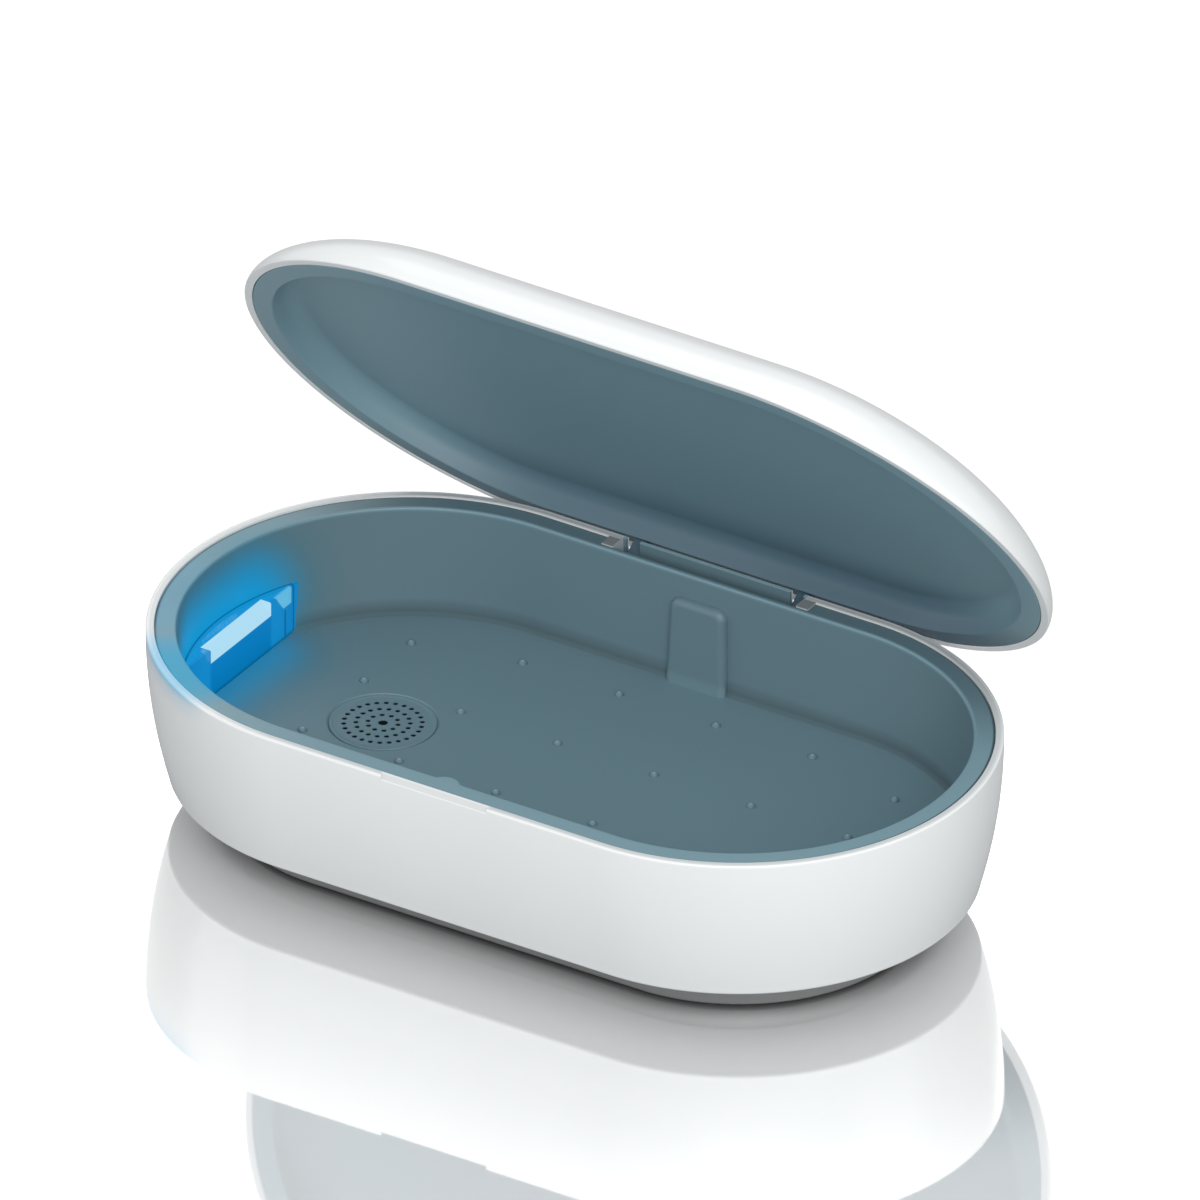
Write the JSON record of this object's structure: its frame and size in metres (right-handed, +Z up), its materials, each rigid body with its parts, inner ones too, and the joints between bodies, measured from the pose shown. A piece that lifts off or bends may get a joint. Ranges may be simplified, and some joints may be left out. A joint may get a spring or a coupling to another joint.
{
  "type": "uv sanitizer box for phones",
  "caption": "Oblong two-part box with a hinged domed lid, a tray for a phone, an ultraviolet lamp window at one end and a perforated scent disc.",
  "frame": {"origin": "middle of the silicone mat's underside, on the table below the centre of the base", "axes": "+X along the length, away from the lamp end; +Y from the front with the finger notch towards the hinge; +Z up"},
  "size_m": [0.22, 0.1359, 0.1497],
  "materials": {
    "white_plastic": "satin white moulded plastic",
    "blue_grey_plastic": "matte blue-grey moulded plastic",
    "grey_plastic": "matte grey moulded plastic",
    "silicone": "matte silicone",
    "felt": "pressed charcoal felt",
    "clear_plastic": "clear polished plastic",
    "lamp_glass": "clear quartz glass, lit",
    "aluminium": "polished sheet",
    "steel": "plated steel",
    "wire": "insulated wire",
    "circuit_board": "green lacquered board",
    "black_plastic": "black moulded plastic"
  },
  "bodies": {
    "base": {"base_shell": "white_plastic", "bottom_cover": "grey_plastic", "anti_slip_mat": "silicone", "tray": "blue_grey_plastic", "aroma_disc": "blue_grey_plastic", "scent_pad": "felt", "lamp_window": "clear_plastic", "uv_tube": "lamp_glass", "lamp_cap_front": "white_plastic", "lamp_cap_rear": "white_plastic", "lamp_reflector": "aluminium", "lamp_leads": "wire", "main_board": "circuit_board", "lamp_driver": "black_plastic", "board_chips": "black_plastic", "charging_socket": "steel", "button_switch": "black_plastic", "indicator_light": "white_plastic", "light_guide": "clear_plastic", "lid_sensor": "black_plastic", "sensor_leads": "wire", "cover_screws": "steel", "board_screws": "steel", "hinge_pin": "steel", "hinge_washers": "steel"},
    "lid": {"lid_shell": "white_plastic", "lid_liner": "blue_grey_plastic", "hinge_bracket": "blue_grey_plastic", "bracket_screws": "steel", "lid_magnet": "steel"},
    "button": {"power_button": "grey_plastic", "switch_plunger": "white_plastic"}
  },
  "joints": [
    {"name": "lid_hinge", "type": "hinge", "parent": "base", "child": "lid", "pos_m": [0, 0.0595, 0.0428], "axis": [1, 0, 0], "range_deg": [0, 55.2]},
    {"name": "button_press", "type": "slide", "parent": "base", "child": "button", "axis": [0, -1, 0], "range_m": [0, 0.0006], "stiffness_N_per_m": 1200, "springref_m": -0.0006}
  ]
}
